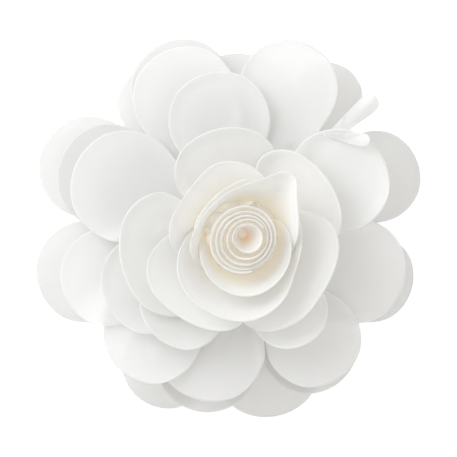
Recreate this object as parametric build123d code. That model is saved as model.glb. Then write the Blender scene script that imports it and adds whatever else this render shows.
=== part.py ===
from build123d import *
import math
import os
from dataclasses import dataclass

import numpy as np

# Rose hair clip: a fabric rose sewn to a buckram disc, backed with felt and
# glued to a sprung alligator clip.  Millimetres, +Z up through the flower,
# +X along the clip towards its thumb lever.  The rose is laid out about the
# bud axis, and everything is moved at the end so that the origin is the
# centre of the underside of the whole part.

# ---------------------------------------------------------------- dimensions

# Cloth and sewing
CLOTH = 0.6             # a petal with its sealed edge, measured upright
PETAL_GAP = 0.25        # air between one petal and the next
LIFT_MARGIN = 1.5       # how far past a petal's rim its neighbour clears it
LIFT_SLOPE = 0.7        # how steeply a petal climbs over the one beneath
BLEND = 1.6             # softness of that climb
ROOT_RADIUS = 15.0      # where petals are sewn down, from the bud axis
DEEP_ROOT = 8.0         # the same for the last petals, which reach under the bud
ROSE_SCALE = 1.0        # spread of the petals, 1 for a 114 mm rose
ROUNDING = 0.48         # how round a lobe is, 0.5 for a true ellipse
TAPER = 0.35            # how much a petal narrows towards its root

# Backing, from the clip upwards
FELT_BOTTOM = 13.0
FELT_THICKNESS = 1.2
FELT_RADIUS = 22.0
DISC_THICKNESS = 0.8
DISC_RADIUS = 20.0
GLUE_THICKNESS = 0.4
GLUE_MARGIN = 2.5       # from the glue's ends to those of the plate
GLUE_WIDTH = 8.0

# Wraps and bud
WRAP_CLOTH = 0.4
WRAP_LIFT = 6.5         # lower edge of the upright petals above the disc
WRAP_FLARE = 1.6        # how late an upright petal turns outwards
WRAP_FALL = 0.85        # how far its rim falls at both ends, as a share
BUD_HEIGHT = 18.5
BUD_RADIUS = 9.7
BUD_TURNS = 3.25
BUD_STRIP = 0.5
HEART_RADIUS = 4.3
HEART_TILT = 10.0
HEART_CLEARANCE = 0.5

# Clip
STEEL = 0.8
JAW_LENGTH = 30.0       # jaw tip to hinge
HINGE_X = 8.0
TAB_LENGTH = 12.0       # fixed tab behind the hinge
LEVER_LENGTH = 13.0
LEVER_SLOPE = 27.0
UPPER_WIDTH = 9.0
EAR_CLEARANCE = 0.3
JAW_GAP = 3.8           # between the two plates when closed
BITE_CLEARANCE = 0.05
PIN_RADIUS = 0.9
PIN_CLEARANCE = 0.05
PIN_HEAD = 0.4
EAR_RADIUS = 1.7
TOOTH_PITCH = 1.4
TOOTH_DEPTH = 0.9
WIRE_RADIUS = 0.25
SPRING_TURNS = 4
SPRING_PITCH = 0.6
SPRING_LEG = 7.0
SPRING_CLEARANCE = 0.05

DISC_TOP = FELT_BOTTOM + FELT_THICKNESS + DISC_THICKNESS
PLATE_TOP = FELT_BOTTOM - GLUE_THICKNESS
PLATE_BOTTOM = PLATE_TOP - STEEL
LOWER_TOP = PLATE_BOTTOM - JAW_GAP
LOWER_BOTTOM = LOWER_TOP - STEEL
HINGE_Z = PLATE_BOTTOM - JAW_GAP / 2
LOWER_WIDTH = UPPER_WIDTH - 2 * STEEL - 2 * EAR_CLEARANCE
GLUE_LENGTH = JAW_LENGTH + TAB_LENGTH - 2 * GLUE_MARGIN
WRAP_BASE = DISC_TOP + WRAP_LIFT
COIL_RADIUS = JAW_GAP / 2 - WIRE_RADIUS - SPRING_CLEARANCE
PIN_SPACE = COIL_RADIUS + WIRE_RADIUS + SPRING_CLEARANCE


# -------------------------------------------------------------- open petals

@dataclass(frozen=True)
class Petal:
    """A round petal: azimuth in degrees, reach and width in mm seen from above.

    tip is the height of its rim, bow how far its middle stands above a
    straight line from root to tip, cup how far its sides turn up (or down).
    lean swings the root round from the azimuth of the tip.
    """

    name: str
    azimuth: float
    reach: float
    width: float
    tip: float
    bow: float = 1.0
    cup: float = 1.0
    lean: float = 0.0
    root: float = ROOT_RADIUS

    def ends(self):
        """Root and tip as points in plan."""
        turn = math.radians(self.azimuth)
        swing = math.radians(self.azimuth + self.lean)
        far = self.reach * ROSE_SCALE
        near = self.root
        root = (near * math.cos(swing), near * math.sin(swing))
        tip = (far * math.cos(turn), far * math.sin(turn))
        return root, tip

    def local(self, x, y):
        """Distance along the petal from its root, and out to its side."""
        root, tip = self.ends()
        length = math.dist(root, tip)
        ux = (tip[0] - root[0]) / length
        uy = (tip[1] - root[1]) / length
        along = (x - root[0]) * ux + (y - root[1]) * uy
        side = (y - root[1]) * ux - (x - root[0]) * uy
        return along, side, length

    def lobe(self):
        """Half-length of the round end, half-width, and the extra length behind."""
        _, _, length = self.local(0.0, 0.0)
        half = self.width * ROSE_SCALE / 2
        front = min(half, length / 2)
        return front, half, length - 2 * front

    def plan(self, u, v):
        """Plan position of a point of the unit square spread over the petal.

        The square becomes a round lobe, drawn out and narrowed behind.
        """
        root, tip = self.ends()
        _, _, length = self.local(0.0, 0.0)
        front, half, extra = self.lobe()
        ahead = u * np.sqrt(1 - ROUNDING * v ** 2)
        aside = v * np.sqrt(1 - ROUNDING * u ** 2)
        behind = np.minimum(ahead, 0.0)
        along = length - front + front * ahead - extra * behind ** 2
        side = half * aside * (1 - TAPER * behind ** 2)
        ux = (tip[0] - root[0]) / length
        uy = (tip[1] - root[1]) / length
        return root[0] + along * ux - side * uy, root[1] + along * uy + side * ux

    def outside(self, x, y):
        """About how far a point in plan lies outside the outline, in mm."""
        along, side, length = self.local(x, y)
        front, half, extra = self.lobe()
        away = along - length + front
        behind = np.minimum(away, 0.0)
        stretch = np.sqrt(front ** 2 - 4 * extra * behind)
        ahead = 2 * away / (front + stretch)
        narrow = 1 - TAPER * np.clip(ahead, -1.2, 0.0) ** 2
        return (np.hypot(ahead, side / half / narrow) - 1) * min(front, half)

    def ideal(self, x, y):
        """Height of the petal's underside if nothing lay beneath it."""
        along, side, length = self.local(x, y)
        run = np.clip(along / length, -0.3, 1.2)
        edge = np.clip(side / (self.width * ROSE_SCALE / 2), -1.3, 1.3)
        line = DISC_TOP + (self.tip - DISC_TOP) * run
        return line + 4 * self.bow * run * (1 - run) + self.cup * edge ** 2 * run


# Back to front: each petal lies over those before it.
PETALS = [
    Petal("back_petal_bottom", 281, 53.6, 31, 0.8, 4.5, -2.5),
    Petal("back_petal_lower_left", 239, 56.4, 26, 0.5, 4.5, -2.0),
    Petal("back_petal_lower", 254, 52.8, 29, 2.5, 4.5, -2.0),
    Petal("back_petal_lower_right", 302, 51.4, 28, 2.5, 4.5, -2.0),
    Petal("back_petal_right", 343, 52.4, 26.5, 0.5, 4.5, -2.0),
    Petal("back_petal_upper_right", 25, 56.7, 27, 0.5, 4.5, -2.0),
    Petal("back_petal_top_right", 59, 59.0, 20, 3.5, 4.5, -1.5),
    Petal("back_petal_top", 92, 54.7, 34, 4.0, 4.0, -1.5),
    Petal("back_petal_top_left", 122, 58.7, 24, 0.5, 4.5, -2.0),
    Petal("under_petal_top_left", 112, 62.2, 30, 5.5, 4.0, -1.0),
    Petal("back_petal_left", 192, 61.9, 30, 0.5, 5.0, -2.0),
    Petal("back_petal_upper_left", 155, 64.7, 30, 0.5, 5.0, -2.0),
    Petal("folded_petal", 46.5, 57.2, 5.5, 13.0, 1.5, -2.5, 5, 30),
    Petal("outer_petal_right", 344, 49.4, 31, 12.0, 2.0, -0.5),
    Petal("outer_petal_lower_right", 305, 50.0, 28.5, 13.0, 2.0, -0.5),
    Petal("outer_petal_lower", 254, 49.2, 32, 13.0, 2.0, -0.5),
    Petal("outer_petal_lower_left", 227, 52.7, 29, 15.0, 1.0, 1.0),
    Petal("outer_petal_left", 196, 55.0, 29, 13.0, 2.0, -0.5),
    Petal("under_petal_upper_left", 155, 58.4, 31, 12.0, 2.0, -0.5),
    Petal("outer_petal_top_left", 112, 59.6, 31, 14.0, 2.0, 0.5),
    Petal("outer_petal_top_right", 73, 60.3, 29, 15.0, 1.5, 0.5),
    Petal("inner_petal_top", 101, 49.6, 30, 20.0, 0.5, 1.0),
    Petal("inner_petal_left", 206, 44.2, 30, 20.0, 0.5, 1.0),
    Petal("outer_petal_upper_left", 156, 53.5, 33, 18.5, 1.0, 1.0),
    Petal("inner_petal_upper_right", 31, 47.4, 31, 20.5, 0.0, 2.0),
    Petal("folded_lip", 37.5, 46.8, 4.0, 24.5, 0.5, -1.0, 15, 38.5),
    Petal("inner_petal_lower_left", 229, 38.2, 26, 22.5, 0.0, 1.5),
    Petal("cup_petal_left", 192, 36.2, 37, 25.0, -0.5, 1.5, 0, DEEP_ROOT),
    Petal("cup_petal_top", 103, 32.8, 31, 25.5, -0.5, 1.5, 0, DEEP_ROOT),
    Petal("cup_petal_lower_right", 299, 35.8, 23, 25.0, -0.5, 1.0, 34, DEEP_ROOT),
    Petal("cup_petal_right", 35, 30.2, 33, 26.0, -0.5, 1.0, 0, DEEP_ROOT),
]


def smooth_face(x, y, z):
    """A smooth surface through a grid of points, as closely as it will fit."""
    grid = [[Vector(*point) for point in zip(*line)] for line in zip(x, y, z)]
    for tolerance in (0.01, 0.03, 0.1):
        try:
            return Face.make_surface_from_array_of_points(grid, tolerance, (1, 0.5, 0.1), max_deg=8)
        except ValueError:
            continue
    raise ValueError("no smooth surface fits these points")


def soft_max(first, second):
    """The larger of two heights, rounded over where they cross."""
    near = np.maximum(0.0, 1 - np.abs(first - second) / BLEND)
    return np.maximum(first, second) + BLEND * near ** 2 / 4


def laid_height(x, y, number):
    """Underside of a petal once every petal before it has been laid."""
    beyond = np.maximum(0.0, np.hypot(x, y) - DISC_RADIUS)
    below = DISC_TOP - LIFT_SLOPE * beyond
    for petal in PETALS[:number]:
        under = soft_max(petal.ideal(x, y), below + PETAL_GAP)
        past = np.maximum(0.0, petal.outside(x, y) - LIFT_MARGIN)
        below = np.maximum(below, under + CLOTH - LIFT_SLOPE * past)
    return soft_max(PETALS[number].ideal(x, y), below + PETAL_GAP)


def petal_solid(number, steps=17):
    """One petal: its underside as a smooth surface, raised by the cloth."""
    across = np.linspace(-1, 1, steps)
    u, v = np.meshgrid(across, across, indexing="ij")
    x, y = PETALS[number].plan(u, v)
    z = laid_height(x, y, number)
    return extrude(smooth_face(x, y, z), amount=CLOTH, dir=(0, 0, 1))


# ---------------------------------------------------------- upright petals

@dataclass(frozen=True)
class Wrap:
    """An upright petal curled about the bud, flaring from foot to rim.

    It runs from one azimuth to another and stands a height above its foot.
    rim holds the radius of its edge at even steps between them.
    """

    name: str
    first: float
    last: float
    foot: float
    height: float
    rim: tuple

    def radius(self, azimuth):
        """Radius of the rim at an azimuth, on a smooth curve through the steps."""
        steps = len(self.rim) - 1
        place = (azimuth - self.first) / (self.last - self.first) * steps
        step = np.clip(np.floor(place), 0, steps - 1).astype(int)
        part = place - step
        before = 2 * self.rim[0] - self.rim[1]
        after = 2 * self.rim[-1] - self.rim[-2]
        knots = np.array([before, *self.rim, after])
        a, b, c, d = (knots[step + shift] for shift in range(4))
        curve = (2 * a - 5 * b + 4 * c - d) + part * (3 * b - 3 * c + d - a)
        return (b + part * (c - a) / 2 + part ** 2 * curve / 2) * ROSE_SCALE


# From the outside in: each has a smaller foot than those before it.
WRAPS = [
    Wrap("wrap_petal_lower_right", 258, 390, 15.3, 8.5, (28, 27.8, 28, 28.2, 27.4, 27.4, 27.5, 26.8, 25.5)),
    Wrap("wrap_petal_lower_left", 165, 285, 14.5, 8.5, (22, 24.5, 28.2, 29.6, 28.8, 28, 27.3, 26.5, 25)),
    Wrap("wrap_petal_upper_left", 50, 208, 13.7, 10.0, (18, 19.3, 21.2, 22.3, 20.7, 20, 20.8, 21.2, 21.2)),
    Wrap("wrap_petal_lower", 165, 408, 12.9, 13.0, (18.3, 20.1, 21.9, 22.8, 23.2, 21, 17.3, 16.6, 17.8, 18.8)),
    Wrap("heart_wrap_back", 66, 177, 12.1, 15.0, (19.5, 15.4, 13.4, 12.9, 14.2)),
    Wrap("heart_wrap_outer", -33, 225, 11.2, 16.5,
         (15.5, 15.3, 15.4, 16.2, 18.3, 22.6, 17.2, 14.3, 12.9, 12, 11.8, 12.1, 13.2, 14.9, 16.4, 17.5)),
    Wrap("heart_wrap_inner", 170, 392, 10.3, 14.5, (11.6, 12.4, 14.4, 15.5, 14.5, 13.2, 13.2)),
]


def wrap_solid(wrap, steps=41, rises=7):
    """One upright petal as a thin curved shell."""
    across, up = np.meshgrid(np.linspace(-1, 1, steps), np.linspace(0, 1, rises), indexing="ij")
    azimuth = wrap.first + (wrap.last - wrap.first) * (across + 1) / 2
    rise = up * (1 - WRAP_FALL * across ** 6)
    radius = wrap.foot + (wrap.radius(azimuth) - wrap.foot) * rise ** WRAP_FLARE
    turn = np.radians(azimuth)
    z = WRAP_BASE + wrap.height * rise
    sheet = smooth_face(radius * np.cos(turn), radius * np.sin(turn), z)
    return Solid.thicken(sheet, WRAP_CLOTH if outward(sheet) else -WRAP_CLOTH)


def outward(sheet):
    """Whether a wrap's surface faces away from the bud axis."""
    middle = sheet.position_at(0.5, 0.5)
    facing = sheet.normal_at(middle)
    return facing.X * middle.X + facing.Y * middle.Y > 0


# ---------------------------------------------------------------------- bud

def bud_roll():
    """The strip rolled up at the heart, its top falling away outwards."""
    inner = HEART_RADIUS + HEART_CLEARANCE + BUD_HEIGHT * math.sin(math.radians(HEART_TILT)) / 2
    outer = BUD_RADIUS - BUD_STRIP
    count = 36
    near = []
    far = []
    for step in range(count + 1):
        share = step / count
        radius = inner + (outer - inner) * share
        turn = 2 * math.pi * BUD_TURNS * share + 0.6
        near.append((radius * math.cos(turn), radius * math.sin(turn)))
        far.append(((radius + BUD_STRIP) * math.cos(turn), (radius + BUD_STRIP) * math.sin(turn)))
    inside = Spline(*near)
    outside = Spline(*far)
    ends = [Line(near[0], far[0]), Line(near[-1], far[-1])]
    roll = extrude(make_face([inside, outside, *ends]), amount=BUD_HEIGHT)
    shoulder = Pos(0, 0, BUD_HEIGHT / 2) * Cone(BUD_RADIUS + 4, BUD_RADIUS - 2.5, BUD_HEIGHT)
    return Pos(0, 0, WRAP_BASE) * (roll & shoulder)


def bud_heart():
    """The tightest turn at the centre, a tube that leans a little."""
    tube = Cylinder(HEART_RADIUS, BUD_HEIGHT) - Cylinder(HEART_RADIUS - BUD_STRIP, BUD_HEIGHT)
    return Pos(0, 0, WRAP_BASE + BUD_HEIGHT / 2 + 0.8) * Rot(0, HEART_TILT, 0) * tube


# ------------------------------------------------------------------ backing

def disc(radius, bottom, thickness):
    """A flat round layer."""
    return Pos(0, 0, bottom + thickness / 2) * Cylinder(radius, thickness)


def glue_pad():
    """Hot glue between the clip's fixed plate and the felt."""
    middle = HINGE_X + TAB_LENGTH - GLUE_MARGIN - GLUE_LENGTH / 2
    return Pos(middle, 0, PLATE_TOP + GLUE_THICKNESS / 2) * Box(GLUE_LENGTH, GLUE_WIDTH, GLUE_THICKNESS)


# --------------------------------------------------------------------- clip

def ears(width, radius, reach):
    """A pair of side ears round the hinge, joined to the plate at height reach."""
    pair = []
    for side in (-1, 1):
        y = side * (width - STEEL) / 2
        round_end = Pos(HINGE_X, y, HINGE_Z) * Rot(90, 0, 0) * Cylinder(radius, STEEL)
        stem = Pos(HINGE_X, y, (HINGE_Z + reach) / 2) * Box(2 * radius, STEEL, abs(reach - HINGE_Z))
        pair += [round_end, stem]
    return pair


def hinge_bore(radius):
    """A cylinder through both ears."""
    return Pos(HINGE_X, 0, HINGE_Z) * Rot(90, 0, 0) * Cylinder(radius, 2 * UPPER_WIDTH)


def upper_jaw():
    """The fixed plate: jaw, ears and the short tab behind them."""
    length = JAW_LENGTH + TAB_LENGTH
    middle = HINGE_X + TAB_LENGTH - length / 2
    plate = Pos(middle, 0, PLATE_TOP - STEEL / 2) * Box(length, UPPER_WIDTH, STEEL)
    plate = fillet(plate.edges().filter_by(Axis.Z), UPPER_WIDTH / 3)
    body = plate
    for ear in ears(UPPER_WIDTH, EAR_RADIUS + 0.3, PLATE_BOTTOM + STEEL / 2):
        body += ear
    return body - hinge_bore(PIN_RADIUS)


def lower_jaw():
    """The moving jaw: toothed plate, ears and the thumb lever."""
    tip = HINGE_X - JAW_LENGTH
    fall = math.radians(LEVER_SLOPE)
    run = (math.cos(fall), -math.sin(fall))
    normal = (math.sin(fall), math.cos(fall))
    away = PIN_SPACE
    knee = HINGE_X - (away - normal[1] * (HINGE_Z - LOWER_TOP)) / normal[0]
    end = (knee + LEVER_LENGTH * run[0], LOWER_TOP + LEVER_LENGTH * run[1])
    under = (end[0] - STEEL * normal[0], end[1] - STEEL * normal[1])
    heel = knee - STEEL * math.tan(fall / 2)
    side = Polyline((tip, LOWER_BOTTOM), (heel, LOWER_BOTTOM), under, end, (knee, LOWER_TOP), (tip, LOWER_TOP),
                    close=True)
    profile = make_face(Plane.XZ * side)
    body = extrude(profile, amount=LOWER_WIDTH / 2, both=True)
    bite = PLATE_BOTTOM - BITE_CLEARANCE - LOWER_TOP
    lip = Pos(tip + STEEL / 2, 0, LOWER_TOP + (bite - TOOTH_DEPTH) / 2)
    body += lip * Box(STEEL, LOWER_WIDTH, bite - TOOTH_DEPTH)
    count = int(LOWER_WIDTH / TOOTH_PITCH)
    for number in range(count):
        y = (number - (count - 1) / 2) * TOOTH_PITCH
        crown = PLATE_BOTTOM - BITE_CLEARANCE
        gum = crown - TOOTH_DEPTH
        tooth = Polyline((y - TOOTH_PITCH / 2, gum), (y, crown), (y + TOOTH_PITCH / 2, gum), close=True)
        body += Pos(tip, 0, 0) * extrude(make_face(Plane.YZ * tooth), amount=STEEL, dir=(1, 0, 0))
    for ear in ears(LOWER_WIDTH, EAR_RADIUS, LOWER_TOP - STEEL / 2):
        body += ear
    return body - hinge_bore(PIN_RADIUS + PIN_CLEARANCE)


def hinge_pin():
    """The rivet through all four ears, headed at both ends."""
    pin = Cylinder(PIN_RADIUS, UPPER_WIDTH)
    for side in (-1, 1):
        pin += Pos(0, 0, side * (UPPER_WIDTH + PIN_HEAD) / 2) * Cylinder(PIN_RADIUS + 0.5, PIN_HEAD)
    return Pos(HINGE_X, 0, HINGE_Z) * Rot(90, 0, 0) * pin


def torsion_spring():
    """The coil round the pin, one leg on the fixed tab and one on the lever."""
    turns = SPRING_TURNS + 0.5 - LEVER_SLOPE / 360
    rise = SPRING_PITCH * turns
    upright = Helix(SPRING_PITCH, rise, COIL_RADIUS)
    coil = Pos(HINGE_X, -rise / 2, HINGE_Z) * Rot(-90, 0, 0) * Rot(0, 0, 90 + LEVER_SLOPE) * upright
    lever_leg = Line(coil @ 0 - (coil % 0) * SPRING_LEG, coil @ 0)
    tab_leg = Line(coil @ 1, coil @ 1 + (coil % 1) * SPRING_LEG)
    path = Wire([lever_leg, coil, tab_leg])
    section = Plane(origin=path @ 0, z_dir=path % 0) * Circle(WIRE_RADIUS)
    return sweep(section, path=path)


# ------------------------------------------------------------------- export

pieces = {
    "lower_jaw": lower_jaw(),
    "upper_jaw": upper_jaw(),
    "hinge_pin": hinge_pin(),
    "torsion_spring": torsion_spring(),
    "glue_pad": glue_pad(),
    "felt_backing": disc(FELT_RADIUS, FELT_BOTTOM, FELT_THICKNESS),
    "base_disc": disc(DISC_RADIUS, FELT_BOTTOM + FELT_THICKNESS, DISC_THICKNESS),
    "bud_roll": bud_roll(),
    "bud_heart": bud_heart(),
}
for number, petal in enumerate(PETALS):
    pieces[petal.name] = petal_solid(number)
for wrap in WRAPS:
    pieces[wrap.name] = wrap_solid(wrap)

box = Compound(children=[Compound([piece]) for piece in pieces.values()]).bounding_box()
centre = Pos(-box.center().X, -box.center().Y, -box.min.Z)

os.makedirs("parts", exist_ok=True)
for name, piece in pieces.items():
    export_step(centre * piece, f"parts/{name}.step")
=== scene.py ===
"""Looks of a fabric rose hair clip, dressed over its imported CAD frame.

Every petal is read from its CAD node: the node gives the petal's outline and
the height of its cloth, and the cloth itself is made here, thinner, with a
turned rim and a sealed edge.  Metres throughout, +Z up out of the bud.
"""

from __future__ import annotations

import logging
import math
from dataclasses import dataclass, field
from enum import Enum

import bmesh
import bpy
import numpy as np
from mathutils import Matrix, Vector
from mathutils.bvhtree import BVHTree

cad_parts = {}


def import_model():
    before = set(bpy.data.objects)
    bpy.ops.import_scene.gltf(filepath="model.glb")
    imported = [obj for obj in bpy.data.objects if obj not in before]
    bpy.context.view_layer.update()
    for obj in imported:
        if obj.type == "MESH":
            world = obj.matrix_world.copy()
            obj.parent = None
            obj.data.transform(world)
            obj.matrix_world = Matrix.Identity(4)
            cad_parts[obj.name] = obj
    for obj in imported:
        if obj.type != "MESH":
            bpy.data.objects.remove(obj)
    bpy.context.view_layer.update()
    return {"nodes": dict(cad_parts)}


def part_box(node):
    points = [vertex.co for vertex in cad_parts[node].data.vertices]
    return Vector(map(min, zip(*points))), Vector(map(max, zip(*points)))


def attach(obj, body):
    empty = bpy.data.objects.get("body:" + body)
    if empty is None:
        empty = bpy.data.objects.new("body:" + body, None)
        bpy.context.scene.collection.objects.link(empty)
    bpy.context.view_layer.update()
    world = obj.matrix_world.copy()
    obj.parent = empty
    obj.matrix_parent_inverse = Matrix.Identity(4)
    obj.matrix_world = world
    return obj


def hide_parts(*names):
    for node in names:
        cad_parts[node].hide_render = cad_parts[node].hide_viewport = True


log = logging.getLogger("rose_clip")

MM = 0.001
BODY = "flower"

# A sheet can't be declared narrower than this, so the two small folded pieces
# are declared wider than they measure.
LEAST_CUT = 10 * MM


# ------------------------------------------------------------ shader helpers

class Wire:
    """A number carried by a shader socket, so that maths reads as Python."""

    def __init__(self, shader: NodeTree, socket: bpy.types.NodeSocket) -> None:
        """Keep the socket and the shader that it belongs to."""
        self.shader = shader
        self.socket = socket

    def _maths(self, operation: str, first: Wire | float, second: Wire | float) -> Wire:
        """Add one Math node.

        Args:
            operation: Blender's name for the sum.
            first: left-hand value.
            second: right-hand value.

        Returns:
            The result as another wire.
        """
        node = self.shader.node("ShaderNodeMath", {"operation": operation}, {0: first, 1: second})
        return Wire(self.shader, node.outputs[0])

    def __add__(self, other: Wire | float) -> Wire:
        """self + other."""
        return self._maths("ADD", self, other)

    __radd__ = __add__

    def __mul__(self, other: Wire | float) -> Wire:
        """self * other."""
        return self._maths("MULTIPLY", self, other)

    __rmul__ = __mul__

    def __sub__(self, other: Wire | float) -> Wire:
        """self - other."""
        return self._maths("SUBTRACT", self, other)

    def __rsub__(self, other: Wire | float) -> Wire:
        """other - self."""
        return self._maths("SUBTRACT", other, self)

    def __truediv__(self, other: Wire | float) -> Wire:
        """self / other."""
        return self._maths("DIVIDE", self, other)

    def __pow__(self, other: Wire | float) -> Wire:
        """self ** other."""
        return self._maths("POWER", self, other)

    def wave(self) -> Wire:
        """The sine of this value."""
        return self._maths("SINE", self, 0.0)

    def clamped(self) -> Wire:
        """This value held between 0 and 1."""
        low = self._maths("MAXIMUM", self, 0.0)
        return self._maths("MINIMUM", low, 1.0)


class NodeTree:
    """Short ways to add nodes to a tree of any kind."""

    tree: bpy.types.NodeTree

    def node(self, kind: str, settings: dict | None = None, sockets: dict | None = None) -> bpy.types.Node:
        """Add any node.

        Args:
            kind: the node's type.
            settings: properties to set before its sockets.
            sockets: values, wires or sockets for its inputs, by name or index.

        Returns:
            The new node.
        """
        made = self.tree.nodes.new(kind)
        for key, value in (settings or {}).items():
            setattr(made, key, value)
        for key, value in (sockets or {}).items():
            self.feed(made.inputs[key], value)
        return made

    def feed(self, socket: bpy.types.NodeSocket, value: object) -> None:
        """Link a wire or socket to an input, or set the input's own value.

        Args:
            socket: the input.
            value: a wire, a socket, a colour or a plain value.
        """
        if isinstance(value, Wire):
            self.tree.links.new(value.socket, socket)
        elif isinstance(value, bpy.types.NodeSocket):
            self.tree.links.new(value, socket)
        elif isinstance(value, tuple) and len(value) == 3 and socket.type == "RGBA":
            socket.default_value = (*value, 1.0)
        else:
            socket.default_value = value


class Shader(NodeTree):
    """One Principled material."""

    def __init__(self, name: str) -> None:
        """Make an empty material with its surface shader.

        Args:
            name: the material's name.
        """
        self.material = bpy.data.materials.new(name)
        self.material.use_nodes = True
        self.tree = self.material.node_tree
        self.tree.nodes.clear()
        self.surface = self.node("ShaderNodeBsdfPrincipled")
        self.node("ShaderNodeOutputMaterial", {}, {"Surface": self.surface.outputs["BSDF"]})

    def dress(self, **inputs: object) -> None:
        """Set the surface's sockets, with underscores for spaces in their names."""
        for key, value in inputs.items():
            self.feed(self.surface.inputs[key.replace("_", " ")], value)

    def object_place(self) -> bpy.types.NodeSocket:
        """Object coordinates, in metres."""
        return self.node("ShaderNodeTexCoord").outputs["Object"]

    def axes(self) -> tuple[Wire, Wire, Wire]:
        """The three object coordinates as numbers."""
        split = self.node("ShaderNodeSeparateXYZ", {}, {0: self.object_place()})
        return tuple(Wire(self, split.outputs[index]) for index in range(3))

    def along_cloth(self) -> tuple[Wire, Wire]:
        """Place on the cloth as it was cut.

        Returns:
            Metres across the cloth and along it.
        """
        flat = self.node("ShaderNodeAttribute", {"attribute_name": "flat"})
        split = self.node("ShaderNodeSeparateXYZ", {}, {0: flat.outputs["Vector"]})
        return Wire(self, split.outputs[0]), Wire(self, split.outputs[1])

    def noise(self, scale: float, detail: float = 2.0, rough: float = 0.5) -> Wire:
        """Smooth noise in object space.

        Args:
            scale: how many bumps in a metre.
            detail: how many finer layers.
            rough: how strong the finer layers are.

        Returns:
            The noise, about 0 to 1.
        """
        made = self.node("ShaderNodeTexNoise", {}, {
            "Vector": self.object_place(),
            "Scale": scale,
            "Detail": detail,
            "Roughness": rough,
        })
        return Wire(self, made.outputs[0])

    def attribute(self, name: str) -> Wire:
        """A number stored on the mesh."""
        made = self.node("ShaderNodeAttribute", {"attribute_name": name})
        return Wire(self, made.outputs["Fac"])

    def mix(self, share: Wire | float, first: object, second: object) -> bpy.types.NodeSocket:
        """A colour between two colours."""
        made = self.node("ShaderNodeMix", {"data_type": "RGBA"}, {0: share, 6: first, 7: second})
        return made.outputs[2]

    def bump(self, height: Wire, strength: float, distance: float) -> bpy.types.NodeSocket:
        """A normal bent by a height."""
        made = self.node("ShaderNodeBump", {}, {"Strength": strength, "Distance": distance, "Height": height})
        return made.outputs[0]


# ------------------------------------------------------------------ finishes

# Colours of painted light: a highlight along a sealed edge, and a glow that stands in for light filtered
# through the cloth.
SEALED_EDGE_HIGHLIGHT = (0.98, 0.98, 0.97)
FILTERED_LIGHT = (1.0, 0.965, 0.90)


@dataclass(frozen=True)
class ClothFinish:
    """Sheer woven petal cloth with a heat-sealed edge.

    It turns from colour to shade_colour towards the bud's axis and down into
    the folds beneath shade_top: painted warm shade.  There it also gives off a
    faint light, glow, which is painted light standing in for what filters
    through the cloth all round.  Towards the sealed edge it turns paler, by
    edge: a painted highlight.
    """

    name: str
    colour: tuple[float, float, float]
    shade_colour: tuple[float, float, float]
    shade_reach: float
    shade_top: float
    shade_drop: float
    opacity: float
    # edge: how strong the painted highlight along the sealed edge is.
    edge: float = 0.25
    glow: float = 0.0
    glow_reach: float = 22 * MM
    roughness: float = 0.7
    thread: float = 0.5 * MM

    def make(self, axis: Vector) -> bpy.types.Material:
        """Build the material.

        Args:
            axis: a point on the bud's axis, about which the cloth warms.

        Returns:
            The cloth's material.
        """
        shader = Shader(self.name)
        x, y, z = shader.axes()
        away = ((x - axis.x) ** 2.0 + (y - axis.y) ** 2.0) ** 0.5
        near = (1 - away / self.shade_reach).clamped()
        down = ((self.shade_top - z) / self.shade_drop).clamped()
        rim = shader.attribute("rim")
        mottle = shader.noise(60.0, 3.0)
        dull = tuple(0.9 * part for part in self.colour)
        body = shader.mix((mottle * 0.35).clamped(), self.colour, dull)
        within = (1 - away / self.glow_reach).clamped()
        # painted warm shade: the colour turns to shade_colour towards the axis and down into the folds
        fold_shaded = shader.mix((near * down * 2.0).clamped(), body, self.shade_colour)
        # painted highlight: the colour turns paler towards the sealed edge
        edge_highlighted = shader.mix(rim ** 5.0 * self.edge, fold_shaded, SEALED_EDGE_HIGHLIGHT)
        weave = self._weave(shader)
        shader.dress(
            Base_Color=edge_highlighted,
            Roughness=self.roughness - rim ** 6.0 * 0.3,
            Alpha=self.opacity + rim ** 3.0 * (0.97 - self.opacity),
            # painted light: the cloth glows faintly near the axis and down in the folds
            Emission_Color=shader.mix((within * down * 2.0).clamped(), (0.0, 0.0, 0.0), FILTERED_LIGHT),
            Emission_Strength=self.glow,
            Sheen_Weight=0.2,
            Sheen_Roughness=0.35,
            Specular_IOR_Level=0.35,
            Subsurface_Weight=0.2,
            Subsurface_Radius=(1.0, 1.0, 1.0),
            Subsurface_Scale=3.0 * MM,
            Normal=shader.bump(weave, 0.2, 0.05 * MM),
        )
        return shader.material

    def _weave(self, shader: Shader) -> Wire:
        """Crossed threads with a little slub in them.

        Args:
            shader: the cloth's shader.

        Returns:
            The height of the weave, for a bump.
        """
        across, along = shader.along_cloth()
        pitch = 2 * math.pi / self.thread
        slub = shader.noise(350.0, 2.0)
        warp = (across * pitch + slub * 2.0).wave()
        weft = (along * pitch + slub * 2.0).wave()
        return warp * weft * 0.5 + slub


@dataclass(frozen=True)
class FeltFinish:
    """Pressed felt, matt and fibrous."""

    name: str
    colour: tuple[float, float, float]
    shade: tuple[float, float, float]

    def make(self) -> bpy.types.Material:
        """Build the felt's material.

        Returns:
            The material.
        """
        shader = Shader(self.name)
        clumps = shader.noise(900.0, 6.0, 0.7)
        patches = shader.noise(120.0, 2.0)
        shader.dress(
            # Darker where the fibre clumps lie low, which is painted shade, and in random patches of tone.
            Base_Color=shader.mix((clumps * 0.7 + patches * 0.3).clamped(), self.shade, self.colour),
            Roughness=0.95,
            Sheen_Weight=0.4,
            Sheen_Roughness=0.7,
            Specular_IOR_Level=0.1,
            Normal=shader.bump(clumps, 0.6, 0.25 * MM),
        )
        return shader.material


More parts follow.
